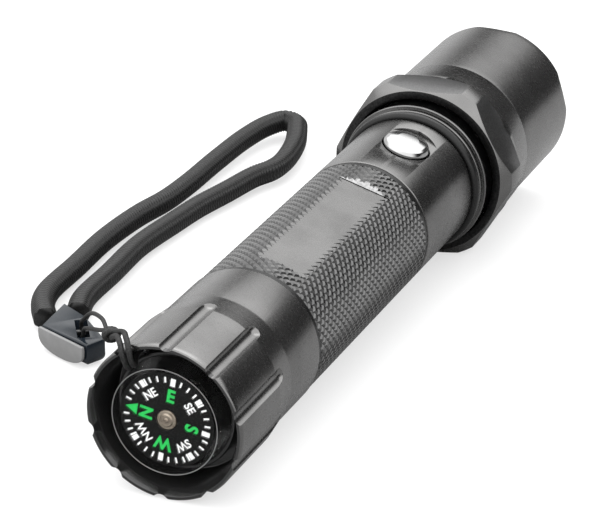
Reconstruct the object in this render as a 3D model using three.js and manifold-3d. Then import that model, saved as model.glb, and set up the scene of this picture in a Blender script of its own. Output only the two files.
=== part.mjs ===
// Pocket torch with a slide-focus head, a side switch, a liquid compass in the tail cap and a
// wrist strap. Millimetres, +Z up. The torch lies along Y, lamp towards +Y, on one flat of its
// hexagonal collar. Inside the torch group, y is the station measured from the tail rim and z
// is measured from the torch's axis, so a round piece is a lathe about Y.
import * as THREE from 'three';
import { mergeVertices } from 'three/addons/utils/BufferGeometryUtils.js';
import Module from 'manifold-3d';

const wasm = await Module();
wasm.setup();

// ---- driving dimensions ---------------------------------------------------------------
const LENGTH = 168;          // tail rim to bezel
const ROUND = 36;            // sides of a large round piece
const SMALL_ROUND = 18;      // sides of a small one
const GAP = 0.3;             // clearance left between pieces that touch

const BODY_R = 13.95;        // barrel and switch section
const BORE_R = 11.65;        // battery bore
const SPIGOT_R = 12.35;      // threaded spigots, drawn plain
const EDGE = 0.35;           // small machined chamfer

const CAP_LENGTH = 36;
const CAP_LAND_R = 14.75;    // fluted grip of the tail cap
const CAP_NECK_R = 14.1;     // plain front of the tail cap
const CAP_BORE_R = SPIGOT_R + 0.35;
const CUP_R = 13.1;          // compass cup in the tail
const CUP_DEPTH = 9.5;
const BULKHEAD = 13;         // front face of the wall between cup and batteries
const FLUTES = 10;
const FLUTE_PHASE = 3;       // degrees from the top
const FLUTE_CUTTER_R = 1.55;
const FLUTE_DEPTH = 0.9;
const FLUTE_END = 18;

const SEAM = CAP_LENGTH + GAP;
const BARREL_END = 90.3;
const FEATURE_ANGLE = 16;    // label flat and switch, degrees from the top towards +X
const LABEL_FLAT_HEIGHT = 12.95;
const LABEL_FLAT_START = 42.3;
const LABEL_FLAT_LENGTH = 41;

const SWITCH_END = 116.2;
const SWITCH_AT = 105.3;
const BUTTON_R = 4.7;
const BUTTON_HOLE_R = 5.0;
const SPOT_FACE_R = 6.9;
const SPOT_FACE_HEIGHT = 13.1;

const NECK_R = 15.05;
const NECK_END = 138.6;
const STOP_RING_AT = 134.9;
const FOCUS_SEAL_AT = 136.5;
const LAMP_BORE_R = 13.2;
const LAMP_BORE_START = 118;

const COLLAR_START = 123;
const HEX_END = 132;
const HEX_APOTHEM = 17.65;
const HEX_CORNER_R = 19.4;
const COLLAR_END = 141;
const COLLAR_LIP_R = 15.45;
const HEAD_R = 16.95;
const HEAD_BORE_R = 15.95;
const BEZEL_SCALLOPS = 5;
const BEZEL_PHASE = 2;
const SCALLOP_DEPTH = 1;
const SCALLOP_CUTTER_R = 9.3;

const STRAP_D = 4.8;
const STRING_D = 1.1;

// ---- materials ------------------------------------------------------------------------
const material = (color, roughness, metalness) =>
  new THREE.MeshStandardMaterial({ color, roughness, metalness });
const anodised = material(0x3a3a3c, 0.42, 0.8);
const chrome = material(0xe4e6e8, 0.08, 1);
const brass = material(0xb79a5a, 0.35, 1);
const steel = material(0x9b9a98, 0.35, 1);
const rubber = material(0x101010, 0.5, 0);
const blackPlastic = material(0x0b0b0c, 0.25, 0);
const clearPlastic = material(0xdde6e2, 0.05, 0);
const dialBlack = material(0x15171a, 0.5, 0);
const boardGreen = material(0x1f4a2c, 0.5, 0);
const ledYellow = material(0xe0c64a, 0.4, 0);
const cellSleeve = material(0x2d2f33, 0.35, 0.3);
const cordBlack = material(0x1a1a1a, 0.9, 0);
const clipGrey = material(0x2a2d31, 0.25, 0);
const clipEndGrey = material(0xb4b4b4, 0.4, 0);

// ---- shape helpers --------------------------------------------------------------------
const radians = THREE.MathUtils.degToRad;

// A closed body from any closed geometry: vertices welded, slivers dropped, faces outward.
function body(geometry) {
  geometry.deleteAttribute('normal');
  geometry.deleteAttribute('uv');
  const welded = mergeVertices(geometry, 1e-4);
  const points = welded.attributes.position.array;
  const faces = [];
  for (let i = 0; i < welded.index.count; i += 3) {
    const [a, b, c] = [0, 1, 2].map((k) => welded.index.getX(i + k));
    if (a !== b && b !== c && c !== a) faces.push(a, b, c);
  }
  if (signedVolume(points, faces) < 0) faces.reverse();
  const mesh = new wasm.Mesh({
    numProp: 3,
    vertProperties: new Float32Array(points),
    triVerts: new Uint32Array(faces),
  });
  return new wasm.Manifold(mesh);
}

function signedVolume(points, faces) {
  const corner = (i) => new THREE.Vector3().fromArray(points, 3 * i);
  let total = 0;
  for (let i = 0; i < faces.length; i += 3) {
    const [a, b, c] = [0, 1, 2].map((k) => corner(faces[i + k]));
    total += a.dot(b.cross(c));
  }
  return total;
}

// A round body about Y from [radius, station] points; it ends on the axis or closes on itself.
function turned(outline, sides = ROUND) {
  const points = outline.map(([r, s]) => new THREE.Vector2(r, s));
  const onAxis = outline[0][0] === 0 && outline.at(-1)[0] === 0;
  if (!onAxis) points.push(points[0].clone());
  return body(new THREE.LatheGeometry(points, sides));
}

const tube = (inner, outer, from, to, sides = ROUND) =>
  turned([[inner, from], [outer, from], [outer, to], [inner, to]], sides);

const disc = (radius, from, to, sides = ROUND) =>
  turned([[0, from], [radius, from], [radius, to], [0, to]], sides);

// A ring of round section, such as an O-ring squeezed in its groove.
function ring(centreR, wireR, at, sides = ROUND) {
  const outline = [];
  for (let i = 0; i < 8; i += 1) {
    const a = (i / 8) * 2 * Math.PI;
    outline.push([centreR + wireR * Math.cos(a), at + wireR * Math.sin(a)]);
  }
  return turned(outline, sides);
}

function box(size, centre) {
  const geometry = new THREE.BoxGeometry(...size);
  geometry.translate(...centre);
  return body(geometry);
}

// A cylinder that stands on the axis and points up, from one height to another.
function upright(radius, from, to, station, sides = SMALL_ROUND) {
  const geometry = new THREE.CylinderGeometry(radius, radius, to - from, sides);
  geometry.rotateX(Math.PI / 2);
  geometry.translate(0, station, (from + to) / 2);
  return body(geometry);
}

// Turns a body about the torch's axis, from the top towards +X.
const turnBy = (shape, degrees) => shape.rotate([0, degrees, 0]);

const around = (degrees, radius, station) => new THREE.Vector3(
  radius * Math.sin(radians(degrees)), station, radius * Math.cos(radians(degrees)));

const joined = (shapes) => shapes.reduce((sum, next) => sum.add(next));

function copiesAround(count, phase, shape) {
  const copies = [];
  for (let i = 0; i < count; i += 1) copies.push(turnBy(shape, phase + (i * 360) / count));
  return joined(copies);
}

// A round tube along a curve.
function tubeAlong(extrudePath, diameter, steps, sides = 8) {
  const section = new THREE.Shape(
    new THREE.EllipseCurve(0, 0, diameter / 2, diameter / 2).getPoints(sides).slice(0, sides));
  return body(new THREE.ExtrudeGeometry(section, { steps, extrudePath }));
}

// A cord or wire through a list of [x, station, z] points, with steps of even length.
function cord(points, diameter, steps, sides = 8) {
  const curve = new THREE.CatmullRomCurve3(points.map((p) => new THREE.Vector3(...p)));
  return tubeAlong(curve, diameter, steps, sides);
}

// A compression spring about Y whose coil radius changes evenly from one end to the other.
function spring(rFrom, rTo, from, to, turns, wire) {
  const points = [];
  const stepsPerTurn = 10;
  for (let i = 0; i <= turns * stepsPerTurn; i += 1) {
    const t = i / (turns * stepsPerTurn);
    const p = around(t * turns * 360, rFrom + (rTo - rFrom) * t, from + (to - from) * t);
    points.push([p.x, p.y, p.z]);
  }
  return cord(points, wire, turns * stepsPerTurn, 5);
}

const torch = new THREE.Group();
torch.position.set(0, -LENGTH / 2, HEX_APOTHEM);

function add(name, shape, look) {
  const { vertProperties, triVerts } = shape.getMesh();
  const geometry = new THREE.BufferGeometry();
  geometry.setAttribute('position', new THREE.BufferAttribute(vertProperties, 3));
  geometry.setIndex(new THREE.BufferAttribute(triVerts, 1));
  geometry.computeVertexNormals();
  const mesh = new THREE.Mesh(geometry, look);
  mesh.name = name;
  torch.add(mesh);
}

// ---- tail cap -------------------------------------------------------------------------
function tailCapShell() {
  const shell = turned([
    [0, CUP_DEPTH], [CUP_R, CUP_DEPTH], [CUP_R, 1.6], [13.9, 0], [CAP_LAND_R - 0.4, 0],
    [CAP_LAND_R, 0.4], [CAP_LAND_R, 16.5], [CAP_NECK_R, 23],
    [CAP_NECK_R, CAP_LENGTH - EDGE], [CAP_NECK_R - EDGE, CAP_LENGTH],
    [CAP_BORE_R + 0.8, CAP_LENGTH], [CAP_BORE_R + 0.8, CAP_LENGTH - 1.2],
    [CAP_BORE_R, CAP_LENGTH - 1.2], [CAP_BORE_R, BULKHEAD], [0, BULKHEAD],
  ]);
  return shell.subtract(copiesAround(FLUTES, FLUTE_PHASE, fluteCutter()));
}

function fluteCutter() {
  const height = CAP_LAND_R - FLUTE_DEPTH + FLUTE_CUTTER_R;
  const length = FLUTE_END + 2;
  const bar = new THREE.CylinderGeometry(FLUTE_CUTTER_R, FLUTE_CUTTER_R, length, 12);
  bar.translate(0, FLUTE_END - length / 2, height);
  const end = new THREE.SphereGeometry(FLUTE_CUTTER_R, 12, 8);
  end.translate(0, FLUTE_END, height);
  return body(bar).add(body(end));
}

add('tail_cap_shell', tailCapShell(), anodised);
add('tail_seal_ring', tube(SPIGOT_R + 0.1, CAP_BORE_R + 0.65, CAP_LENGTH - 1, CAP_LENGTH), rubber);

const LANYARD_ANGLE = -39.5;
function lanyardPin() {
  return turnBy(upright(0.6, 11.35, CUP_R - 0.15, 8.7, 10), LANYARD_ANGLE);
}
add('lanyard_pin', lanyardPin(), steel);

// ---- compass --------------------------------------------------------------------------
const CASE_R = 11.2;
const CASE_RIM = 5;
const CAPSULE_R = 10.1;
const CAPSULE_FRONT = 0.5;
add('compass_case', turned([
  [0, 8.6], [10.4, 8.6], [10.4, CASE_RIM], [CASE_R, CASE_RIM], [CASE_R, 9.2], [0, 9.2],
]), blackPlastic);
add('compass_capsule', turned([
  [0, CAPSULE_FRONT], [CAPSULE_R - 0.5, CAPSULE_FRONT], [CAPSULE_R, 1], [CAPSULE_R, 8.3],
  [9.2, 8.3], [9.2, 1], [0, 1],
]), clearPlastic);
add('compass_pivot', turned([[0, 8.3], [1.2, 8.3], [1.2, 7.7], [0.4, 7.2], [0.15, 3.1], [0, 3]],
  SMALL_ROUND), steel);
const CARD_R = 8.9;
add('compass_card', tube(2.1, CARD_R, 1.6, 1.9, ROUND), dialBlack);
add('compass_hub', turned([
  [0, 1.2], [1.4, 1.2], [1.4, 1.45], [1.9, 1.45], [1.9, 3], [1, 3], [1, 2.6], [0, 2.6],
], SMALL_ROUND), brass);
add('compass_magnet', tube(2.3, 5, 2.2, 3.2), steel);

// ---- tail contact, which slides with the cap without turning --------------------------------
add('tail_contact_disc', disc(8, BULKHEAD + GAP, BULKHEAD + 1.1, SMALL_ROUND), brass);
add('tail_spring', spring(6.6, 3.2, 15.2, 29.4, 5, 1), steel);

// ---- barrel ---------------------------------------------------------------------------
function barrelTube() {
  const outer = turned([
    [BORE_R, 25.5], [SPIGOT_R, 25.5], [SPIGOT_R, SEAM], [BODY_R - EDGE, SEAM],
    [BODY_R, SEAM + EDGE], [BODY_R, BARREL_END - EDGE], [BODY_R - EDGE, BARREL_END],
    [SPIGOT_R + 0.35, BARREL_END], [SPIGOT_R + 0.35, 84], [BORE_R, 84],
  ]);
  const middle = LABEL_FLAT_START + LABEL_FLAT_LENGTH / 2;
  const above = box([20, LABEL_FLAT_LENGTH, 4], [0, middle, LABEL_FLAT_HEIGHT + 2]);
  return outer.subtract(turnBy(above, FEATURE_ANGLE));
}
add('barrel_tube', barrelTube(), anodised);

// ---- switch section and neck, one machined piece --------------------------------------
const SEAT_R = 12.9;         // floor of the neck's O-ring groove
const RIDGE_R = 14.9;
const FLANGE_R = 15.6;
function switchHousing() {
  const start = BARREL_END + GAP;
  const outer = turned([
    [BORE_R, 84.4], [SPIGOT_R, 84.4], [SPIGOT_R, start], [BODY_R - EDGE, start],
    [BODY_R, start + EDGE], [BODY_R, SWITCH_END - EDGE], [BODY_R - EDGE, SWITCH_END],
    [SEAT_R, SWITCH_END], [SEAT_R, 118.4], [RIDGE_R, 118.4], [RIDGE_R, 119],
    [RIDGE_R - 0.7, 119], [RIDGE_R - 0.7, 119.5], [FLANGE_R, 119.5], [FLANGE_R, 120.1],
    [NECK_R, 120.1], [NECK_R, STOP_RING_AT - 0.2], [14.2, STOP_RING_AT - 0.2],
    [14.2, FOCUS_SEAL_AT - 0.3], [NECK_R, FOCUS_SEAL_AT - 0.3], [NECK_R, FOCUS_SEAL_AT],
    [14.2, FOCUS_SEAL_AT], [14.2, FOCUS_SEAL_AT + 1.4], [NECK_R, FOCUS_SEAL_AT + 1.4],
    [NECK_R, NECK_END], [LAMP_BORE_R, NECK_END], [LAMP_BORE_R, LAMP_BORE_START],
    [BORE_R, LAMP_BORE_START],
  ]);
  const hole = upright(BUTTON_HOLE_R, 8, 15, SWITCH_AT);
  const spotFace = upright(SPOT_FACE_R, SPOT_FACE_HEIGHT, 16, SWITCH_AT, ROUND);
  return outer.subtract(turnBy(hole.add(spotFace), FEATURE_ANGLE));
}
add('switch_housing', switchHousing(), anodised);
add('neck_oring', ring(14.05, 1.0, 117.3), rubber);
add('neck_stop_ring', tube(14.4, 15.6, STOP_RING_AT, STOP_RING_AT + 1), steel);
add('focus_seal_ring', ring(15.05, 0.6, FOCUS_SEAL_AT + 0.7), rubber);

// ---- switch ---------------------------------------------------------------------------
function radialPiece(outline) {
  const shape = turned(outline, ROUND).rotate([90, 0, 0]);
  return turnBy(shape.translate([0, SWITCH_AT, 0]), FEATURE_ANGLE);
}
add('switch_button', radialPiece([
  [0, 8.6], [5.3, 8.6], [5.3, 9.3], [BUTTON_R, 9.3], [BUTTON_R, 13.8], [4.4, 14.3],
  [3.4, 14.8], [1.8, 15.05], [0, 15.1],
]), chrome);
add('microswitch', turnBy(
  box([6, 6, 1.6], [0, SWITCH_AT, 5.5]).add(upright(1.7, 6, 7.1, SWITCH_AT)),
  FEATURE_ANGLE), blackPlastic);
add('switch_board', turnBy(box([15, 12, 1.2], [0, SWITCH_AT, 3.8]), FEATURE_ANGLE), boardGreen);
function switchCarrier() {
  const above = box([24, 20, 12], [0, SWITCH_AT, 2.9 + 6]);
  return disc(10.9, 97.2, 113.4).subtract(turnBy(above, FEATURE_ANGLE));
}
add('switch_carrier', switchCarrier(), blackPlastic);

// ---- batteries ------------------------------------------------------------------------
const CELL_R = 5.1;
const CELL_AT_R = 6.06;      // three cells touching, less a small gap
const CASSETTE_R = 11.3;
function batteryCassette() {
  const rear = disc(CASSETTE_R, 31, 33.2);
  const front = disc(CASSETTE_R, 82.8, 85);
  const rib = new THREE.CylinderGeometry(1.3, 1.3, 50, 10);
  rib.translate(0, 58, 9.6);
  return joined([rear, front, copiesAround(3, 60, body(rib))]);
}
add('battery_cassette', batteryCassette(), blackPlastic);
const cell = turned([
  [0, 36], [CELL_R, 36], [CELL_R, 79.5], [1.9, 79.5], [1.9, 80.5], [0, 80.5],
], SMALL_ROUND).translate([0, 0, CELL_AT_R]);
for (let i = 0; i < 3; i += 1) {
  add(`battery_cell_${i + 1}`, turnBy(cell, i * 120), cellSleeve);
}
add('rear_contact_plate', tube(2, 8, 33.5, 34), steel);
add('front_contact_plate', tube(2, 8, 82, 82.5), steel);
add('rear_terminal', disc(3.6, 30.3, 30.7, SMALL_ROUND), brass);
add('front_terminal', disc(3, 85.3, 85.9, SMALL_ROUND), brass);

// ---- driver and lamp ------------------------------------------------------------------
add('driver_board', disc(10.9, 95, 96.2), boardGreen);
add('driver_spring', spring(2.4, 4.2, 86.8, 94, 3, 0.8), steel);
for (const side of [-1, 1]) {
  const lead = new THREE.CylinderGeometry(0.5, 0.5, 21.4, 8);
  lead.translate(side * 8.6, 107.2, 4.6);
  add(side < 0 ? 'lamp_lead_1' : 'lamp_lead_2', turnBy(body(lead), FEATURE_ANGLE), rubber);
}
add('lamp_heatsink', turned([
  [0, 124], [12.9, 124], [12.9, 130], [10.2, 130], [10.2, 133], [0, 133],
]), brass);
add('lamp_board', disc(9.6, 133.3, 134.9), boardGreen);
add('lamp_emitter', turned([
  [0, 135.2], [2.6, 135.2], [2.6, 136], [1.9, 136], [1.5, 137.2], [0.8, 137.8], [0, 138],
], SMALL_ROUND), ledYellow);

// ---- head -----------------------------------------------------------------------------
function hexPrism(from, to) {
  const prism = new THREE.CylinderGeometry(1, 1, to - from, 6);
  const corner = HEX_APOTHEM / Math.cos(Math.PI / 6);
  prism.scale(corner, 1, corner);
  prism.rotateY(Math.PI / 6);
  prism.translate(0, (from + to) / 2, 0);
  return body(prism);
}
function headCollar() {
  const chamfer = HEX_CORNER_R - HEX_APOTHEM;
  const nut = turned([
    [0, COLLAR_START], [HEX_APOTHEM - 0.1, COLLAR_START],
    [HEX_CORNER_R, COLLAR_START + chamfer], [HEX_CORNER_R, HEX_END - chamfer],
    [HEX_APOTHEM, HEX_END], [0, HEX_END],
  ]).intersect(hexPrism(COLLAR_START - 1, HEX_END + 1));
  const front = turned([
    [0, HEX_END - 1], [17.5, HEX_END - 1], [17.5, HEX_END + 4], [17.2, COLLAR_END], [0, COLLAR_END],
  ]);
  const bore = turned([
    [0, COLLAR_START - 1], [16, COLLAR_START - 1], [16, COLLAR_START],
    [COLLAR_LIP_R, COLLAR_START + 0.6], [COLLAR_LIP_R, 126.5], [16.05, 126.5], [16.05, 135.5],
    [16.75, 135.5], [16.75, COLLAR_END + 1], [0, COLLAR_END + 1],
  ]);
  return nut.add(front).subtract(bore);
}
add('head_collar', headCollar(), anodised);

const LENS_SEAT = 150;
function headShell() {
  const shell = turned([
    [HEAD_BORE_R, 135.9], [16.45, 135.9], [16.45, COLLAR_END + GAP], [HEAD_R, COLLAR_END + GAP],
    [HEAD_R, LENGTH - 0.4], [HEAD_R - 0.4, LENGTH], [16.2, LENGTH], [15.8, LENGTH - 1.5],
    [15.8, LENS_SEAT], [14.6, LENS_SEAT], [14.6, LENS_SEAT - 1], [HEAD_BORE_R, LENS_SEAT - 2.5],
  ], 60);
  const scallop = upright(SCALLOP_CUTTER_R, 12, 20, LENGTH + SCALLOP_CUTTER_R - SCALLOP_DEPTH, 40);
  return shell.subtract(copiesAround(BEZEL_SCALLOPS, BEZEL_PHASE, scallop));
}
add('head_shell', headShell(), anodised);
add('focus_lens', turned([
  [0, LENS_SEAT + GAP], [15.4, LENS_SEAT + GAP], [15.4, 153.3], [13.6, 153.3], [12.6, 157],
  [10, 161], [6.5, 163.8], [3, 165], [0, 165.3],
]), clearPlastic);
add('lens_seal_ring', ring(14.75, 0.55, 154.2), rubber);
add('lens_retainer', tube(14.0, 15.5, 155.1, 158), anodised);

// ---- wrist strap ----------------------------------------------------------------------
// The thin string goes from its pin in the cup over the rim to the clip, round the bar in the
// clip's slot, and back beside itself to the pin. Each strand starts with [degrees, radius,
// station] points round the rim; the free points between them are [x, station, z].
const strandOut = [
  [-43, 12.15, 7.5], [-42.5, 12.1, 5.3], [-41, 11.5, 3.2], [-38, 11.1, 1.4], [-33.5, 11.9, -0.2],
  [-29.5, 13.2, -1.2], [-28, 14.5, -1.3], [-28.8, 15.6, -0.4], [-32, 16.2, 1.2], [-38, 16.6, 3.6],
];
const strandBack = [
  [-36.5, 12.15, 7.5], [-36, 12.1, 5.3], [-34.5, 11.5, 3.2], [-31.5, 11.1, 1.4],
  [-27.5, 11.9, -0.2], [-23.8, 13.2, -1.2], [-22.3, 14.5, -1.3], [-23.3, 15.6, -0.4],
  [-26.5, 16.2, 1.2], [-32, 16.6, 3.6],
];
const freeString = [
  [-14, 8.5, 10], [-18.5, 16, 7.5], [-25.5, 28, 3], [-32.5, 38, -1.5], [-37, 44.5, -5.5],
  [-40, 47.9, -8.7], [-40.9, 49.3, -9.6], [-41.4, 50.1, -10.7], [-41.5, 50.3, -11.6],
  [-41.3, 50, -12.6], [-40.8, 49.2, -13.1], [-40.2, 48.2, -13.1], [-39.6, 47.2, -12.4],
  [-39.2, 46.5, -11.2], [-38.7, 45.8, -9.7], [-38, 44.9, -8.7], [-36.5, 43, -7.5],
  [-33, 37.5, -4.5], [-28, 31, -1], [-21.5, 21, 4.5], [-16.5, 13.5, 8.5],
  [-13, 8, 11.5],
];
const roundTheRim = ([degrees, radius, station]) => {
  const p = around(degrees, radius, station);
  return [p.x, p.y, p.z];
};
const stringRoute = [
  ...strandOut.map(roundTheRim), ...freeString, ...strandBack.map(roundTheRim).reverse(),
];

// A curve whose steps fall on the points it was given, close together where it bends.
class HandSpacedCurve extends THREE.CatmullRomCurve3 {
  getPointAt(u, target) {
    return this.getPoint(u, target);
  }

  getTangentAt(u, target) {
    return this.getTangent(u, target);
  }
}
const stringCurve = new HandSpacedCurve(stringRoute.map((p) => new THREE.Vector3(...p)));
add('strap_string', tubeAlong(stringCurve, STRING_D, stringRoute.length - 1), cordBlack);

const clipOutline = [[-47.5, 48.7], [-36.4, 42.6], [-34.6, 46.6], [-42.5, 54], [-48.9, 57.5]];
const clipEndOutline = [[-47.6, 48.4], [-48.1, 47.6], [-37, 41.5], [-36.6, 42.3]];
const CLIP_TOP = -10.8;
const CLIP_BOTTOM = -15.6;
function slab(outline, bottom, top) {
  const shape = new THREE.Shape(outline.map(([x, s]) => new THREE.Vector2(x, s)));
  const geometry = new THREE.ExtrudeGeometry(shape, { depth: top - bottom, bevelEnabled: false });
  geometry.translate(0, 0, bottom);
  return body(geometry);
}
function strapClip() {
  const slotAngle = THREE.MathUtils.radToDeg(Math.atan2(4.9, -3));
  const slot = box([8, 2.4, 5], [0, 0, 0]).rotate([0, 0, slotAngle]);
  const bar = box([1, 3.4, 1], [0, 0, 0]).rotate([0, 0, slotAngle]);
  return slab(clipOutline, CLIP_BOTTOM, CLIP_TOP)
    .subtract(slot.translate([-40.5, 48.7, CLIP_TOP - 1.5]))
    .add(bar.translate([-40.5, 48.7, CLIP_TOP - 0.7]));
}
add('strap_clip', strapClip(), clipGrey);
add('strap_clip_end', slab(clipEndOutline, CLIP_BOTTOM + 0.3, CLIP_TOP - 0.2), clipEndGrey);

// The thick elastic cord leaves one side of the clip, lies on the surface and comes back.
const strapRoute = [
  [-51.5, 54.5, -13.3], [-55, 60, -13.4], [-57, 66, -13.5], [-58, 80, -13.9], [-59, 95, -14.2],
  [-58.5, 110, -14.6], [-57, 120, -14.8], [-56.5, 130, -14.9], [-56.5, 145, -14.9],
  [-56, 160, -14.9], [-54.5, 169, -14.9], [-52, 173.5, -14.9], [-49, 172.5, -14.9],
  [-46.5, 167.5, -14.9], [-44, 160, -14.9], [-42.5, 150, -14.9], [-43, 145, -14.9],
  [-45, 140, -14.9], [-47, 130, -14.9], [-49, 120, -14.8], [-50, 110, -14.6],
  [-51, 95, -14.2], [-50, 80, -13.9], [-49, 66, -13.5], [-47, 59.5, -13.4],
];
add('strap_cord', cord(strapRoute, STRAP_D, 30, 8), cordBlack);

export default torch;
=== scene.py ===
"""Pocket torch with a compass in its tail cap and a wrist strap, lying on a pale surface.

Every length below is in millimetres until it reaches Blender, which works in metres. A place on
the torch is written as (x, station, z): x to the right, station from the tail rim towards the
lamp, z above the torch's axis. Angles about the axis run from the top towards +X.
"""
import math

import bmesh
import bpy
import numpy as np
from mathutils import Matrix, Vector


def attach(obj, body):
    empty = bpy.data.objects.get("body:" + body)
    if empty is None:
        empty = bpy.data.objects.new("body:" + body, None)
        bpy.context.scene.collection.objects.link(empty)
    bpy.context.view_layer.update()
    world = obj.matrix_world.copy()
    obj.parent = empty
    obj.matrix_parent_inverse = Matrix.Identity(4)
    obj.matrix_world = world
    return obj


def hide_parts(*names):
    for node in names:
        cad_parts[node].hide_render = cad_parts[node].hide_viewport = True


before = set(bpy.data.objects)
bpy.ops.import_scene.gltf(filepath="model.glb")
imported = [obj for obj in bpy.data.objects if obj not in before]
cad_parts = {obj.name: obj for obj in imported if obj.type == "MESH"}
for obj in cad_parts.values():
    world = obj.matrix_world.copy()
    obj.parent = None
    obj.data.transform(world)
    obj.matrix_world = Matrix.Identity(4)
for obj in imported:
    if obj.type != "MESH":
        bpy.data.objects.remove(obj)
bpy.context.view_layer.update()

MM = 0.001
HALF_LENGTH = 84.0
AXIS_HEIGHT = 17.65
FEATURE_ANGLE = 16.0  # label flat and switch


def at(x, station, z):
    """A place on the torch, in metres in the row frame."""
    return Vector((x, station - HALF_LENGTH, z + AXIS_HEIGHT)) * MM


def round_at(degrees, radius, station):
    a = math.radians(degrees)
    return at(radius * math.sin(a), station, radius * math.cos(a))


# ---- camera ------------------------------------------------------------------------------
def add_camera(azimuth, elevation, distance, target, lens):
    a, e = math.radians(azimuth), math.radians(elevation)
    back = Vector((math.sin(a) * math.cos(e), -math.cos(a) * math.cos(e), math.sin(e)))
    data = bpy.data.cameras.new("camera")
    data.lens = lens
    data.sensor_width = 36.0
    data.clip_start = 0.01
    data.clip_end = 20.0
    camera = bpy.data.objects.new("camera", data)
    camera.location = Vector(target) + back * distance
    camera.rotation_euler = (-back).to_track_quat("-Z", "Y").to_euler()
    bpy.context.scene.collection.objects.link(camera)
    bpy.context.scene.camera = camera


add_camera(azimuth=23.04, elevation=24.16, distance=0.560, target=(-0.0031, -0.0168, 0.0194),
           lens=176.57)


# ---- material building blocks ------------------------------------------------------------
class Look:
    """A material on one Principled shader, built up by small steps."""

    def __init__(self, name, colour, roughness, metallic=0.0, **sockets):
        self.material = bpy.data.materials.new(name)
        self.material.use_nodes = True
        self.nodes = self.material.node_tree.nodes
        self.links = self.material.node_tree.links
        self.shader = self.nodes["Principled BSDF"]
        self.colour = (*colour, 1.0)
        self.set("Base Color", self.colour)
        self.set("Roughness", roughness)
        self.set("Metallic", metallic)
        for socket, value in sockets.items():
            self.set(socket.replace("_", " "), value)
        self.place = self.nodes.new("ShaderNodeTexCoord").outputs["Object"]
        self.normal = None

    def set(self, socket, value):
        self.shader.inputs[socket].default_value = value

    def noise(self, size_mm, detail=3.0, stretch=(1, 1, 1), roughness=0.55):
        scale = self.nodes.new("ShaderNodeMapping")
        scale.inputs["Scale"].default_value = [1000.0 / size_mm * s for s in stretch]
        self.links.new(self.place, scale.inputs["Vector"])
        texture = self.nodes.new("ShaderNodeTexNoise")
        texture.inputs["Scale"].default_value = 1.0
        texture.inputs["Detail"].default_value = detail
        texture.inputs["Roughness"].default_value = roughness
        self.links.new(scale.outputs[0], texture.inputs["Vector"])
        return texture.outputs["Fac"]

    def ramp(self, source, low, high, position=(0.35, 0.65)):
        ramp = self.nodes.new("ShaderNodeValToRGB")
        for element, colour, place in zip(ramp.color_ramp.elements, (low, high), position):
            element.color = (*colour, 1.0)
            element.position = place
        self.links.new(source, ramp.inputs["Fac"])
        return ramp.outputs["Color"]

    def span(self, source, low, high, between=(0.3, 0.7)):
        ranged = self.nodes.new("ShaderNodeMapRange")
        ranged.inputs["From Min"].default_value = between[0]
        ranged.inputs["From Max"].default_value = between[1]
        ranged.inputs["To Min"].default_value = low
        ranged.inputs["To Max"].default_value = high
        self.links.new(source, ranged.inputs["Value"])
        return ranged.outputs["Result"]

    def vary_colour(self, size_mm, low, high, **noise):
        self.links.new(self.ramp(self.noise(size_mm, **noise), low, high),
                       self.shader.inputs["Base Color"])
        return self

    def vary_roughness(self, size_mm, low, high, **noise):
        self.links.new(self.span(self.noise(size_mm, **noise), low, high),
                       self.shader.inputs["Roughness"])
        return self

    def bump(self, size_mm, depth_mm, strength=1.0, **noise):
        node = self.nodes.new("ShaderNodeBump")
        node.inputs["Strength"].default_value = strength
        node.inputs["Distance"].default_value = depth_mm * MM
        self.links.new(self.noise(size_mm, **noise), node.inputs["Height"])
        if self.normal is not None:
            self.links.new(self.normal, node.inputs["Normal"])
        self.normal = node.outputs["Normal"]
        self.links.new(self.normal, self.shader.inputs["Normal"])
        return self

    def glow_to_camera(self, strength):
        """Lifts a white backdrop to paper white in the picture without lighting the object."""
        self.set("Emission Color", (1, 1, 1, 1))
        scaled = self.nodes.new("ShaderNodeMath")
        scaled.operation = "MULTIPLY"
        scaled.inputs[1].default_value = strength
        self.links.new(self.nodes.new("ShaderNodeLightPath").outputs["Is Camera Ray"],
                       scaled.inputs[0])
        self.links.new(scaled.outputs[0], self.shader.inputs["Emission Strength"])


def grey(value, warmth=0.0):
    return (value * (1 + warmth), value, value * (1 - warmth))


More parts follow.
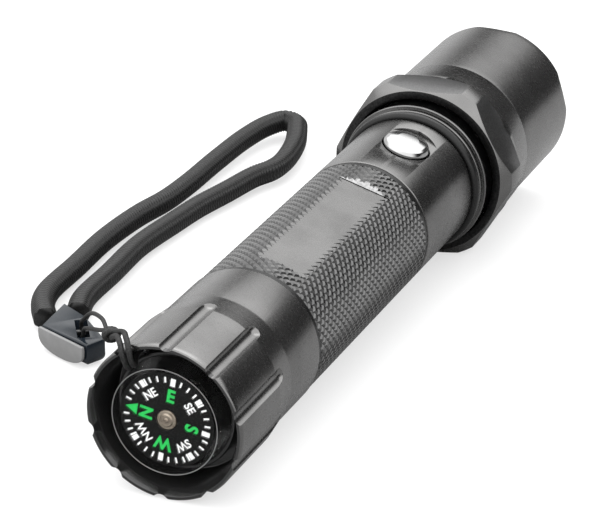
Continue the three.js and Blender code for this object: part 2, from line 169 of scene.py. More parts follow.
def anodised_looks():
    """The aluminium body and its cuts, with painted shade for the knurl grooves, the neck and the
    collar's rear face, and a painted highlight for the flat's end step.
    """
    blasted = Look("blasted_anodised", grey(0.15), 0.25, 1.0)
    blasted.vary_colour(9.0, grey(0.135, 0.01), grey(0.165, 0.01), detail=2.0)
    blasted.vary_roughness(0.5, 0.22, 0.29)
    blasted.bump(0.16, 0.007, 0.45, detail=2.0)

    knurled = Look("knurled_anodised", grey(0.14), 0.24, 1.0)
    knurled.vary_colour(6.0, grey(0.125, 0.01), grey(0.155, 0.01), detail=2.0)
    knurled.bump(0.14, 0.006, 0.5, detail=2.0)

    polished = Look("polished_black_anodised", grey(0.012), 0.16, 0.0, Specular_IOR_Level=0.6)
    polished.vary_roughness(3.0, 0.12, 0.22, stretch=(1, 6, 1))
    polished.bump(0.5, 0.002, 0.4, stretch=(1, 8, 1))

    flats = Look("milled_anodised", grey(0.12), 0.34, 1.0)
    flats.vary_colour(0.35, grey(0.095), grey(0.145), detail=3.0)
    flats.bump(0.3, 0.02, 0.8, detail=3.0)

    # Painted shade: a near-black colour for the neck behind the switch ridges and for the collar's
    # rear face, which sit in shade and mirror dark surroundings.
    shaded = Look("painted_shade_anodised", grey(0.04), 0.32, 1.0)
    shaded.vary_colour(0.35, grey(0.025), grey(0.055), detail=3.0)
    shaded.bump(0.3, 0.02, 0.8, detail=3.0)

    # Painted shade: this darker colour goes on the knurl's groove faces and stands for the shade in
    # their recesses.
    groove = Look("groove_painted_shade", grey(0.10), 0.26, 1.0)
    groove.vary_colour(3.0, grey(0.09), grey(0.11))

    # Painted highlight: a light colour for the flat's sloping end step, standing for the light it
    # catches.
    bright = Look("painted_step_highlight", grey(0.30), 0.34, 1.0)
    bright.vary_colour(0.4, grey(0.22), grey(0.38), detail=3.0)
    bright.bump(0.3, 0.02, 0.6, detail=3.0)
    return dict(blasted=blasted, knurled=knurled, polished=polished, flats=flats,
                shaded=shaded, groove=groove, bright=bright)


def plain_metal_looks():
    """The button, the dial's rivet and the springs."""
    chrome = Look("chrome_plate", grey(0.42), 0.14, 1.0)
    chrome.vary_roughness(2.0, 0.12, 0.18)
    chrome.bump(1.5, 0.002, 0.2)

    brass = Look("turned_brass", (0.30, 0.25, 0.20), 0.3, 1.0)
    brass.vary_colour(0.8, (0.24, 0.20, 0.16), (0.36, 0.31, 0.25))
    brass.bump(0.25, 0.004, 0.5, stretch=(1, 5, 1))

    steel = Look("drawn_steel", grey(0.55), 0.3, 1.0)
    steel.vary_roughness(0.8, 0.22, 0.4)
    steel.bump(0.2, 0.003, 0.4)
    return dict(chrome=chrome, brass=brass, steel=steel)


def plastic_looks():
    """Seals, the compass case and everything clear."""
    rubber = Look("greased_rubber", grey(0.006), 0.26, 0.0, Specular_IOR_Level=0.3)
    rubber.vary_roughness(1.2, 0.2, 0.34)
    rubber.bump(0.5, 0.006, 0.4)

    plastic = Look("black_gloss_plastic", grey(0.008), 0.14)
    plastic.vary_roughness(2.5, 0.1, 0.22)
    plastic.bump(1.2, 0.003, 0.3)

    clear = Look("clear_plastic", (0.97, 1.0, 0.98), 0.02, 0.0, Transmission_Weight=1.0, IOR=1.46,
                 Alpha=0.12)
    clear.vary_roughness(4.0, 0.0, 0.03)

    lens = Look("clear_lens", (1.0, 1.0, 1.0), 0.01, 0.0, Transmission_Weight=1.0, IOR=1.49)
    lens.vary_roughness(6.0, 0.0, 0.02)
    return dict(rubber=rubber, plastic=plastic, clear=clear, lens=lens)


def dial_looks():
    """The compass card and its print."""
    dial = Look("dial_black", grey(0.004), 0.45, 0.0, Specular_IOR_Level=0.12)
    dial.vary_roughness(0.8, 0.35, 0.55)
    dial.bump(0.3, 0.003, 0.3)

    white = Look("dial_white_print", grey(0.92), 0.5)
    white.vary_colour(0.4, grey(0.88), grey(0.96))

    green = Look("dial_green_print", (0.004, 0.50, 0.08), 0.45)
    green.vary_colour(0.5, (0.004, 0.46, 0.07), (0.006, 0.56, 0.09))
    return dict(dial=dial, white=white, green=green)


def strap_looks():
    """The two cords and the moulded clip."""
    braid = Look("braided_nylon", grey(0.010), 0.42, 0.0, Specular_IOR_Level=0.28)
    braid.vary_colour(0.25, grey(0.004), grey(0.016), detail=2.0)
    braid.bump(0.09, 0.02, 0.8, detail=2.0)

    string = Look("string_nylon", grey(0.012), 0.55, 0.0, Specular_IOR_Level=0.22)
    string.vary_colour(0.3, grey(0.005), grey(0.028))
    string.bump(0.08, 0.015, 0.7)

    clip = Look("slate_gloss_plastic", (0.010, 0.014, 0.019), 0.14, 0.0, Specular_IOR_Level=0.33)
    clip.vary_roughness(2.0, 0.12, 0.24)
    clip.bump(1.5, 0.006, 0.3)

    pale = Look("pale_grey_plastic", grey(0.18), 0.38)
    pale.vary_colour(3.0, grey(0.165), grey(0.195))
    pale.bump(0.6, 0.006, 0.3)
    return dict(braid=braid, string=string, clip=clip, pale=pale)


def inner_looks():
    """The boards, the emitter and the cells."""
    board = Look("circuit_board", (0.02, 0.12, 0.05), 0.3)
    board.vary_colour(2.2, (0.015, 0.09, 0.04), (0.04, 0.17, 0.07), detail=6.0)
    board.bump(0.8, 0.01, 0.5)

    phosphor = Look("led_phosphor", (0.75, 0.58, 0.05), 0.3, 0.0, Coat_Weight=1.0)
    phosphor.vary_colour(0.3, (0.7, 0.52, 0.04), (0.82, 0.65, 0.08))

    sleeve = Look("cell_sleeve", (0.03, 0.032, 0.038), 0.25, 0.0, Coat_Weight=0.3)
    sleeve.vary_colour(5.0, (0.025, 0.027, 0.032), (0.04, 0.042, 0.05))
    sleeve.bump(2.0, 0.01, 0.3)
    return dict(board=board, phosphor=phosphor, sleeve=sleeve)


def staging_looks():
    """The surface under the torch."""
    paper = Look("studio_surface", grey(0.32), 0.7, 0.0, Specular_IOR_Level=0.1)
    paper.vary_colour(60.0, grey(0.315), grey(0.325))
    paper.glow_to_camera(0.62)
    return dict(paper=paper)


LOOK_GROUPS = (anodised_looks, plain_metal_looks, plastic_looks, dial_looks, strap_looks,
               inner_looks, staging_looks)
LOOKS = {name: look.material for group in LOOK_GROUPS for name, look in group().items()}


# ---- mesh building blocks ----------------------------------------------------------------
def show_mesh(name, mesh, looks, sharp_angle=35.0):
    """An object for a mesh whose coordinates are already metres in the row frame."""
    for look in looks:
        mesh.materials.append(LOOKS[look])
    mesh.shade_smooth()
    mesh.set_sharp_from_angle(angle=math.radians(sharp_angle))
    obj = bpy.data.objects.new(name, mesh)
    bpy.context.scene.collection.objects.link(obj)
    return obj


def mesh_from(name, points, faces, tidy=True):
    """A mesh from [x, station, z] points in millimetres, with its faces turned outwards."""
    mesh = bpy.data.meshes.new(name)
    shifted = (np.asarray(points, float) + [0.0, -HALF_LENGTH, AXIS_HEIGHT]) * MM
    mesh.from_pydata(shifted.tolist(), [], faces)
    bm = bmesh.new()
    bm.from_mesh(mesh)
    if tidy:
        bmesh.ops.remove_doubles(bm, verts=bm.verts, dist=1e-7)
    bmesh.ops.recalc_face_normals(bm, faces=bm.faces)
    bm.to_mesh(mesh)
    bm.free()
    return mesh


def belongs(obj, body, slot, *nodes):
    """Says which body a piece rides on and hides the CAD nodes it stands for. The slot argument is
    not used.
    """
    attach(obj, body)
    if nodes:
        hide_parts(*nodes)
    return obj


def filleted(outline, steps=4):
    """Rounds each corner of [radius, station] or [radius, station, fillet] points."""
    closed = outline[0][0] > 0
    count = len(outline)
    result = []
    for i, corner in enumerate(outline):
        here = np.array(corner[:2], float)
        ends = not closed and i in (0, count - 1)
        if ends or len(corner) < 3:
            result.append(here)
            continue
        before = np.array(outline[i - 1][:2], float) - here
        after = np.array(outline[(i + 1) % count][:2], float) - here
        size_before, size_after = np.linalg.norm(before), np.linalg.norm(after)
        before, after = before / size_before, after / size_after
        half = 0.5 * math.acos(float(np.clip(np.dot(before, after), -1, 1)))
        if half > 1.5:
            result.append(here)
            continue
        reach = min(corner[2] / math.tan(half), 0.45 * size_before, 0.45 * size_after)
        radius = reach * math.tan(half)
        bisector = (before + after) / np.linalg.norm(before + after)
        centre = here + bisector * (radius / math.sin(half))
        start, end = here + before * reach - centre, here + after * reach - centre
        turn = math.atan2(start[0] * end[1] - start[1] * end[0], float(np.dot(start, end)))
        for k in range(steps + 1):
            a = turn * k / steps
            result.append(centre + [start[0] * math.cos(a) - start[1] * math.sin(a),
                                    start[0] * math.sin(a) + start[1] * math.cos(a)])
    return np.array(result)


def revolved(name, outline, columns=144, relief=None, steps=4, cycle=None):
    """A round body about the torch's axis. relief(angle, radius, station) gives the final radius.
    cycle gives the columns' angles in degrees where they aren't even."""
    profile = filleted(outline, steps)
    closed = outline[0][0] > 0
    angles = np.radians(cycle) if cycle is not None else np.arange(columns) * 2 * np.pi / columns
    columns = len(angles)
    radius = np.repeat(profile[:, 0][:, None], columns, axis=1)
    station = np.repeat(profile[:, 1][:, None], columns, axis=1)
    angle = np.repeat(angles[None, :], len(profile), axis=0)
    if relief is not None:
        angle, radius, station = relief(angle, radius, station)
    points = np.stack([radius * np.sin(angle), station, radius * np.cos(angle)], -1).reshape(-1, 3)
    rows = len(profile)
    faces = []
    for i in range(rows if closed else rows - 1):
        k = (i + 1) % rows
        for j in range(columns):
            m = (j + 1) % columns
            faces.append((i * columns + j, i * columns + m, k * columns + m, k * columns + j))
    return mesh_from(name, points, faces)


def cut_by(mesh_object, cutter, operation="DIFFERENCE"):
    """Applies an exact boolean with a cutter mesh and discards the cutter."""
    modifier = mesh_object.modifiers.new("cut", "BOOLEAN")
    modifier.operation = operation
    modifier.solver = "EXACT"
    modifier.object = cutter
    apply_modifiers(mesh_object)
    bpy.data.objects.remove(cutter)


def apply_modifiers(obj):
    evaluated = obj.evaluated_get(bpy.context.evaluated_depsgraph_get())
    made = bpy.data.meshes.new_from_object(evaluated)
    obj.modifiers.clear()
    obj.data = made


def bevel(obj, width_mm, segments=2, angle=30.0):
    modifier = obj.modifiers.new("edges", "BEVEL")
    modifier.width = width_mm * MM
    modifier.segments = segments
    modifier.limit_method = "ANGLE"
    modifier.angle_limit = math.radians(angle)
    modifier.harden_normals = False
    apply_modifiers(obj)
    obj.data.shade_smooth()
    obj.data.set_sharp_from_angle(angle=math.radians(35))


def scratch(name, mesh):
    obj = bpy.data.objects.new(name, mesh)
    bpy.context.scene.collection.objects.link(obj)
    return obj


def upright_mesh(name, radius, low, high, station, degrees=0.0, sides=96):
    """A cylinder standing on the torch's axis, turned about it."""
    bm = bmesh.new()
    bmesh.ops.create_cone(bm, cap_ends=True, segments=sides, radius1=radius * MM,
                          radius2=radius * MM, depth=(high - low) * MM)
    middle = Vector((0, station, (low + high) / 2)) * MM
    bmesh.ops.translate(bm, vec=middle, verts=bm.verts)
    return placed(name, bm, degrees)


def placed(name, bm, degrees):
    turn = Matrix.Rotation(math.radians(degrees), 4, "Y")
    shift = Matrix.Translation(at(0, 0, 0))
    bmesh.ops.transform(bm, matrix=shift @ turn, verts=bm.verts)
    mesh = bpy.data.meshes.new(name)
    bm.to_mesh(mesh)
    bm.free()
    return mesh


def smooth_path(points, spacing_mm):
    """Even steps along a centripetal spline through given points."""
    p = np.asarray(points, float)
    p = np.vstack([2 * p[0] - p[1], p, 2 * p[-1] - p[-2]])
    dense = []
    for i in range(1, len(p) - 2):
        p0, p1, p2, p3 = p[i - 1:i + 3]
        t1 = np.linalg.norm(p1 - p0) ** 0.5
        t2 = t1 + np.linalg.norm(p2 - p1) ** 0.5
        t3 = t2 + np.linalg.norm(p3 - p2) ** 0.5
        for t in np.linspace(t1, t2, 24, endpoint=False):
            a1 = (t1 - t) / t1 * p0 + t / t1 * p1
            a2 = (t2 - t) / (t2 - t1) * p1 + (t - t1) / (t2 - t1) * p2
            a3 = (t3 - t) / (t3 - t2) * p2 + (t - t2) / (t3 - t2) * p3
            b1 = (t2 - t) / t2 * a1 + t / t2 * a2
            b2 = (t3 - t) / (t3 - t1) * a2 + (t - t1) / (t3 - t1) * a3
            dense.append((t2 - t) / (t2 - t1) * b1 + (t - t1) / (t2 - t1) * b2)
    dense.append(p[-2])
    dense = np.array(dense)
    run = np.concatenate([[0], np.cumsum(np.linalg.norm(np.diff(dense, axis=0), axis=1))])
    count = max(2, int(round(run[-1] / spacing_mm)))
    even = np.linspace(0, run[-1], count + 1)
    return np.stack([np.interp(even, run, dense[:, k]) for k in range(3)], -1), run[-1]


def frames_along(path):
    """Tangent and two cross directions at each step, carried along without twist."""
    tangent = np.gradient(path, axis=0)
    tangent /= np.linalg.norm(tangent, axis=1)[:, None]
    side = np.zeros_like(path)
    side[0] = np.cross(tangent[0], [0, 0, 1.0])
    side[0] /= np.linalg.norm(side[0])
    for i in range(1, len(path)):
        kept = side[i - 1] - tangent[i] * np.dot(side[i - 1], tangent[i])
        side[i] = kept / np.linalg.norm(kept)
    return tangent, side, np.cross(tangent, side)


def tube_mesh(name, path, around_count, surface):
    """A tube whose radius is surface(angle, distance) along a path, closed at both ends."""
    _, side, other = frames_along(path)
    run = np.concatenate([[0], np.cumsum(np.linalg.norm(np.diff(path, axis=0), axis=1))])
    phi = np.arange(around_count) * 2 * np.pi / around_count
    angle, distance = np.meshgrid(phi, run)
    radius = surface(angle, distance)[..., None]
    points = (path[:, None, :] + radius * (np.cos(angle)[..., None] * side[:, None, :]
                                           + np.sin(angle)[..., None] * other[:, None, :]))
    faces = []
    for i in range(len(path) - 1):
        for j in range(around_count):
            m = (j + 1) % around_count
            a, b = i * around_count, (i + 1) * around_count
            faces.append((a + j, a + m, b + m, b + j))
    faces.append(tuple(range(around_count))[::-1])
    last = (len(path) - 1) * around_count
    faces.append(tuple(range(last, last + around_count)))
    return mesh_from(name, points.reshape(-1, 3), faces, tidy=False)


# ---- cords -------------------------------------------------------------------------------
STRAP_D = 4.8

# [degrees, radius, station] round the cup's rim, for each strand
STRAND_OUT = [
    (-43, 12.15, 7.5), (-42.5, 12.1, 5.3), (-41, 11.5, 3.2), (-38, 11.1, 1.4), (-33.5, 11.9, -0.2),
    (-29.5, 13.2, -1.2), (-28, 14.5, -1.3), (-28.8, 15.6, -0.4), (-32, 16.2, 1.2),
    (-38, 16.6, 3.6),
]
STRAND_BACK = [
    (-36.5, 12.15, 7.5), (-36, 12.1, 5.3), (-34.5, 11.5, 3.2), (-31.5, 11.1, 1.4),
    (-27.5, 11.9, -0.2), (-23.8, 13.2, -1.2), (-22.3, 14.5, -1.3), (-23.3, 15.6, -0.4),
    (-26.5, 16.2, 1.2), (-32, 16.6, 3.6),
]
# (x, station, z) between them: to the clip, round the bar in its slot, and back
FREE_STRING = [
    (-14, 8.5, 10), (-18.5, 16, 7.5), (-25.5, 28, 3), (-32.5, 38, -1.5), (-37, 44.5, -5.5),
    (-40, 47.9, -8.7), (-40.9, 49.3, -9.6), (-41.4, 50.1, -10.7), (-41.5, 50.3, -11.6),
    (-41.3, 50, -12.6), (-40.8, 49.2, -13.1), (-40.2, 48.2, -13.1), (-39.6, 47.2, -12.4),
    (-39.2, 46.5, -11.2), (-38.7, 45.8, -9.7), (-38, 44.9, -8.7), (-36.5, 43, -7.5),
    (-33, 37.5, -4.5), (-28, 31, -1), (-21.5, 21, 4.5), (-16.5, 13.5, 8.5),
    (-13, 8, 11.5),
]
# (x, station, z) of the thick cord, from one side of the clip round to its back
STRAP_ROUTE = [
    (-51.5, 54.5, -13.3), (-55, 60, -13.4), (-57, 66, -13.5), (-58, 80, -13.9), (-59, 95, -14.2),
    (-58.5, 110, -14.6), (-57, 120, -14.8), (-56.5, 130, -14.9), (-56.5, 145, -14.9),
    (-56, 160, -14.9), (-54.5, 169, -14.9), (-52, 173.5, -14.9), (-49, 172.5, -14.9),
    (-46.5, 167.5, -14.9), (-44, 160, -14.9), (-42.5, 150, -14.9), (-43, 145, -14.9),
    (-45, 140, -14.9), (-47, 130, -14.9), (-49, 120, -14.8), (-50, 110, -14.6),
    (-51, 95, -14.2), (-50, 80, -13.9), (-49, 66, -13.5), (-47, 59.5, -13.4),
]


def rim_points(strand):
    return [(r * math.sin(math.radians(a)), s, r * math.cos(math.radians(a)))
            for a, r, s in strand]


def strap_cord():
    """Braided elastic: eight lengthwise rows of slanting ribs."""
    path, length = smooth_path(STRAP_ROUTE, 0.16)
    rib, rows = 0.85, 8

    def surface(angle, distance):
        row = angle * rows / (2 * np.pi)
        across = np.abs((row % 1) - 0.5) * 2
        slant = np.where(np.floor(row) % 2 == 0, row % 1, 1 - row % 1)
        ribs = np.abs(np.sin(np.pi * (distance / rib + 0.9 * slant)))
        return STRAP_D / 2 - 0.30 + 0.22 * ribs + 0.12 * (1 - across ** 2)

    mesh = tube_mesh("strap_braid", path, 48, surface)
    obj = belongs(show_mesh("strap_braid", mesh, ["braid"], 80), "tail_cap", "black_cord",
                  "strap_cord")
    return obj, path, length


def strap_string():
    """Thin twisted string, thicker where it is doubled beside the cup."""
    route = rim_points(STRAND_OUT) + FREE_STRING + rim_points(STRAND_BACK)[::-1]
    path, length = smooth_path(route, 0.12)
    twist = 0.5

    def surface(angle, distance):
        from_end = np.minimum(distance, length - distance)
        base = np.where(from_end < 24, 0.52, 0.52 - 0.12 * np.clip((from_end - 24) / 3, 0, 1))
        strands = np.abs(np.sin(1.5 * angle + np.pi * distance / twist))
        return base - 0.07 + 0.09 * strands

    mesh = tube_mesh("lanyard_string", path, 12, surface)
    obj = belongs(show_mesh("lanyard_string", mesh, ["string"], 80), "tail_cap", "black_cord",
                  "strap_string")
    return obj, path, length


strap, strap_line, strap_length = strap_cord()
string, string_line, string_length = strap_string()


# ---- tail cap ----------------------------------------------------------------------------
CAP_LAND_R = 14.75
CAP_NECK_R = 14.1
FLUTES = 10
FLUTE_PHASE = 3.0
FLUTE_R = 1.55
FLUTE_AXIS_R = CAP_LAND_R - 0.9 + FLUTE_R
FLUTE_END = 18.0
HALF_FLUTE = 6.0  # the share of the columns' 18 degrees that the flute takes


def softer_min(a, b, width):
    low = np.minimum(a, b)
    return low - width * np.log(np.exp(-(a - low) / width) + np.exp(-(b - low) / width))


def fluted(column, radius, station):
    """Round-bottomed flutes with ball ends, their columns drawn in where a flute runs out."""
    period = 360.0 / FLUTES
    degrees = np.degrees(column)
    index = np.floor((degrees + period / 2) / period)
    t = degrees - index * period
    past = np.clip(station - FLUTE_END, 0, FLUTE_R)
    reach = np.sqrt(np.maximum(FLUTE_R ** 2 - past ** 2, 0.0))
    meet = (radius ** 2 + FLUTE_AXIS_R ** 2 - reach ** 2) / (2 * radius * FLUTE_AXIS_R)
    edge = np.maximum(np.degrees(np.arccos(np.clip(meet, -1, 1))), 1.2)
    spread = np.where(np.abs(t) <= HALF_FLUTE, t / HALF_FLUTE * edge,
                      np.sign(t) * (edge + (np.abs(t) - HALF_FLUTE) / (period / 2 - HALF_FLUTE)
                                    * (period / 2 - edge)))
    a = np.radians(spread)
    inside = reach ** 2 - (FLUTE_AXIS_R * np.sin(a)) ** 2
    floor = FLUTE_AXIS_R * np.cos(a) - np.sqrt(np.maximum(inside, 0.0))
    floor = np.where(inside > 0, floor, FLUTE_AXIS_R)
    outer = (radius > 13.86) & (station < 25)
    cut = np.where(outer, softer_min(radius, floor, 0.03), radius)
    angle = np.radians(spread + index * period + FLUTE_PHASE)
    return np.where(outer, angle, column + math.radians(FLUTE_PHASE)), cut, station


def tail_cap_body():
    grip = [(CAP_LAND_R, s) for s in np.arange(1.2, 16.0, 1.2)]
    run_out = [(CAP_LAND_R - (CAP_LAND_R - CAP_NECK_R) * min(1, max(0, (s - 16.5) / 6.5)), s)
               for s in np.arange(16.1, 23.4, 0.2)]
    outline = ([(CAP_LAND_R - 0.1, 0.18), (CAP_LAND_R, 0.45)] + grip + run_out
               + [(CAP_NECK_R, 35.7, 0.2), (13.8, 36.0, 0.15), (13.5, 36.0, 0.1), (13.5, 34.8),
                  (12.7, 34.8), (12.7, 13.0), (2.0, 13.0), (2.0, 9.5), (13.1, 9.5, 0.4),
                  (13.1, 1.7, 0.6), (13.95, 0.0, 0.12), (14.4, 0.0, 0.1)])
    half = [0, 1.2, 2.4, 3.6, 4.5, 5.1, 5.45, 5.7, 5.9, 6.1, 6.3, 6.6, 7.2, 9, 12, 15]
    period = sorted(half + [-v for v in half if v]) + [18]
    columns = [k * 36.0 + v for k in range(FLUTES) for v in period]
    mesh = revolved("tail_cap_body", outline, relief=fluted, cycle=columns)
    obj = show_mesh("tail_cap_body", mesh, ["blasted", "polished"], 32)
    for face in mesh.polygons:
        x, y, z = face.center / MM
        radius, station = math.hypot(x, z - AXIS_HEIGHT), y + HALF_LENGTH
        front = station < 0.05 or (station < 1.75 and radius < 13.98)
        if station < 9.6 and (radius < 13.2 or front):
            face.material_index = 1
    belongs(obj, "tail_cap", "anodised", "tail_cap_shell")


def round_piece(name, outline, look, body, slot, *nodes, columns=144, sharp=35.0, **shape):
    mesh = revolved(name, outline, columns=columns, **shape)
    return belongs(show_mesh(name, mesh, [look], sharp), body, slot, *nodes)


def ring_outline(centre_r, wire_r, station, points=14):
    turns = np.arange(points) * 2 * np.pi / points
    return [(centre_r + wire_r * math.cos(a), station + wire_r * math.sin(a)) for a in turns]


# ---- compass -----------------------------------------------------------------------------
CARD_FACE = 1.6
EAST = 10.2  # degrees from the top to the dial's E


def radial_bar(bm, degrees, inner, outer, width):
    """A thin printed bar on the card, its long side pointing outwards."""
    a = math.radians(degrees)
    out, along = Vector((math.sin(a), 0, math.cos(a))), Vector((math.cos(a), 0, -math.sin(a)))
    corners = []
    for station in (CARD_FACE - 0.03, CARD_FACE + 0.01):
        for r, w in ((inner, -1), (outer, -1), (outer, 1), (inner, 1)):
            corners.append(bm.verts.new(out * r + along * (w * width / 2) + Vector((0, station, 0))))
    for quad in ((0, 1, 2, 3), (7, 6, 5, 4), (0, 4, 5, 1), (1, 5, 6, 2), (2, 6, 7, 3), (3, 7, 4, 0)):
        bm.faces.new([corners[i] for i in quad])


def letters(bm, text, degrees, middle_r, height, weight):
    """Bold capitals on the card, their tops outwards."""
    curve = bpy.data.curves.new("letters", "FONT")
    curve.body = text
    curve.offset = weight
    curve.extrude = 0.02
    curve.align_x = "CENTER"
    curve.resolution_u = 4
    obj = scratch("letters", curve)
    mesh = bpy.data.meshes.new_from_object(obj.evaluated_get(
        bpy.context.evaluated_depsgraph_get()))
    ys = [v.co.y for v in mesh.vertices]
    size = height / (max(ys) - min(ys))
    a = math.radians(degrees)
    out, along = Vector((math.sin(a), 0, math.cos(a))), Vector((math.cos(a), 0, -math.sin(a)))
    for v in mesh.vertices:
        up = (v.co.y - (max(ys) + min(ys)) / 2) * size + middle_r
        v.co = along * (v.co.x * size * 0.92) + out * up + Vector((0, CARD_FACE - 0.01 - v.co.z, 0))
    bm.from_mesh(mesh)
    bpy.data.objects.remove(obj)


def print_on_card(name, bm, look):
    bmesh.ops.transform(bm, matrix=Matrix.Translation(at(0, 0, 0)) @ Matrix.Scale(MM, 4),
                        verts=bm.verts)
    bmesh.ops.recalc_face_normals(bm, faces=bm.faces)
    mesh = bpy.data.meshes.new(name)
    bm.to_mesh(mesh)
    bm.free()
    belongs(show_mesh(name, mesh, [look]), "dial", "dial_black")


def dial_print():
    white, green = bmesh.new(), bmesh.new()
    for k in range(32):
        degrees = EAST + k * 11.25
        if k % 8 == 0 and k != 24:
            radial_bar(white, degrees, 6.7, 8.2, 0.9)
        elif k % 8 == 4:
            for step, width in ((-4.2, 0.34), (-1.0, 0.5), (2.9, 0.34)):
                radial_bar(white, degrees + step + 0.6, 6.9, 8.2, width)
        elif k != 24:
            radial_bar(white, degrees, 7.15, 8.2, 0.33)
    for text, turn, middle, height in (("NE", -45, 5.35, 1.65), ("SE", 45, 5.35, 1.65),
                                       ("SW", 135, 5.35, 1.65), ("NW", 225, 5.35, 1.65)):
        letters(white, text, EAST + turn, middle, height, 0.02)
    for text, turn, middle in (("E", 0, 4.75), ("S", 90, 4.75), ("W", 180, 4.75), ("N", 270, 4.0)):
        letters(green, text, EAST + turn, middle, 2.55, 0.035)
    pointer(green, EAST + 270)
    print_on_card("dial_white_print", white, "white")
    print_on_card("dial_green_print", green, "green")


def pointer(bm, degrees):
    """The triangle outside the N."""
    a = math.radians(degrees)
    out, along = Vector((math.sin(a), 0, math.cos(a))), Vector((math.cos(a), 0, -math.sin(a)))
    rings = []
    for station in (CARD_FACE - 0.03, CARD_FACE + 0.01):
        rings.append([bm.verts.new(out * r + along * w + Vector((0, station, 0)))
                      for r, w in ((5.7, -1.1), (7.9, 0), (5.7, 1.1))])
    bm.faces.new(rings[0])
    bm.faces.new(rings[1][::-1])
    for i in range(3):
        k = (i + 1) % 3
        bm.faces.new([rings[0][i], rings[1][i], rings[1][k], rings[0][k]])


def compass():
    round_piece("compass_cup", [
        (0, 8.6), (10.4, 8.6), (10.4, 5.2, 0.15), (11.2, 5.2, 0.25), (11.2, 9.2), (0, 9.2),
    ], "plastic", "tail_cap", "black_plastic", "compass_case")
    round_piece("compass_bubble", [
        (0, 0.5), (10.1, 0.5, 0.5), (10.1, 8.3, 0.2), (0, 8.3),
    ], "clear", "tail_cap", "clear_plastic", "compass_capsule", columns=192)
    round_piece("dial_card", [
        (2.0, CARD_FACE), (8.9, CARD_FACE, 0.06), (8.9, CARD_FACE + 0.3, 0.06),
        (2.0, CARD_FACE + 0.3),
    ], "dial", "dial", "dial_black", "compass_card")
    round_piece("dial_rivet", [
        (0, 1.12), (0.3, 1.12, 0.1), (0.45, 1.26, 0.05), (1.05, 1.2, 0.12), (1.25, 1.42, 0.05),
        (1.75, 1.44, 0.14), (1.9, 1.7), (1.8, 3.0), (1.0, 3.0), (1.0, 2.6), (0, 2.6),
    ], "brass", "dial", "brass", "compass_hub", columns=64)
    # A pale ring at the bubble's rim, painted as the highlight on its edge.
    round_piece("compass_rim_highlight", ring_outline(9.97, 0.08, 0.56, 8), "pale", "tail_cap",
                "clear_plastic", columns=160)
    dial_print()


# ---- barrel ------------------------------------------------------------------------------
BODY_R = 13.95
SEAM = 36.3
BARREL_END = 90.3
FLAT_HEIGHT = 12.95
KNURL_DEPTH = 0.40
KNURL_COUNT = 42  # diamonds round the barrel
KNURL_ROWS = 29  # diamonds along it
GROOVE = 0.25  # half a groove's width, as a share of a diamond's side


def knurl_cells():
    """Flat-topped diamonds between crossing V grooves, as a sheet wrapped round the barrel."""
    pitch = (BARREL_END - SEAM) / KNURL_ROWS
    steps = (0.0, GROOVE, 1.0 - GROOVE)
    index, points, faces = {}, [], []

    def corner(i, j):
        wraps = (i + j) // (6 * KNURL_COUNT)
        key = (i - 3 * KNURL_COUNT * wraps, j - 3 * KNURL_COUNT * wraps)
        if key not in index:
            u, v = key[0] // 3 + steps[key[0] % 3], key[1] // 3 + steps[key[1] % 3]
            angle = 2 * math.pi * (u + v) / (2 * KNURL_COUNT)
            in_groove = key[0] % 3 == 0 or key[1] % 3 == 0
            r = BODY_R - KNURL_DEPTH if in_groove else BODY_R
            index[key] = len(points)
            points.append((r * math.sin(angle), SEAM + pitch * (u - v) / 2, r * math.cos(angle)))
        return index[key]

    span = KNURL_ROWS + 1
    for total in range(0, 2 * KNURL_COUNT):
        for difference in range(-2, 2 * span + 2):
            if (total + difference) % 2:
                continue
            cell_u, cell_v = (total + difference) // 2, (total - difference) // 2
            for a in range(3):
                for b in range(3):
                    i, j = 3 * cell_u + a, 3 * cell_v + b
                    quad = [corner(i, j), corner(i + 1, j), corner(i + 1, j + 1), corner(i, j + 1)]
                    add_cell(faces, quad, a, b)
    return points, faces


def add_cell(faces, quad, a, b):
    """A groove crossing's corner patch folds along its diagonal; the rest are plain quads."""
    if (a, b) in ((0, 0), (2, 2)):
        faces += [(quad[0], quad[1], quad[2]), (quad[0], quad[2], quad[3])]
    elif (a, b) in ((0, 2), (2, 0)):
        faces += [(quad[0], quad[1], quad[3]), (quad[1], quad[2], quad[3])]
    else:
        faces.append(tuple(quad))


def barrel():
    points, faces = knurl_cells()
    mesh = mesh_from("barrel_grip", points, faces)
    bm = bmesh.new()
    bm.from_mesh(mesh)
    low, high = at(0, SEAM, 0).y, at(0, BARREL_END, 0).y
    for y, normal, trim in ((low, -1, True), (high, 1, True), (low + 1.1 * MM, 1, False),
                            (high - 0.42 * MM, 1, False)):
        bmesh.ops.bisect_plane(bm, geom=bm.verts[:] + bm.edges[:] + bm.faces[:], dist=1e-8,
                               plane_co=(0, y, 0), plane_no=(0, normal, 0), clear_outer=trim)
    close_barrel(bm, low, high)
    bm.to_mesh(mesh)
    bm.free()
    obj = show_mesh("barrel_grip", mesh, ["knurled", "groove", "blasted", "bright"],
                    20)
    # Faces deep in the knurl's grooves get the groove look, a darker colour painted as shade in the
    # recesses.
    for face in obj.data.polygons:
        x, z = face.center.x / MM, face.center.z / MM - AXIS_HEIGHT
        face.material_index = 1 if math.hypot(x, z) < BODY_R - 0.35 * KNURL_DEPTH else 0
    cut_by(obj, scratch("flat", flat_cutter()))
    tilt = math.radians(FEATURE_ANGLE)
    for face in obj.data.polygons:
        x, z = face.center.x / MM, face.center.z / MM - AXIS_HEIGHT
        lift = x * math.sin(tilt) + z * math.cos(tilt)
        # step is the end wall's normal; faces turned that way get the light colour as a painted
        # highlight.
        step = Vector((0.61 * math.sin(tilt), -0.793, 0.61 * math.cos(tilt)))
        if abs(lift - FLAT_HEIGHT) < 0.01:
            face.material_index = 2
        elif face.normal.dot(step) > 0.999:
            face.material_index = 3
    obj.data.shade_smooth()
    obj.data.set_sharp_from_angle(angle=math.radians(20))
    belongs(obj, "barrel", "anodised", "barrel_tube")


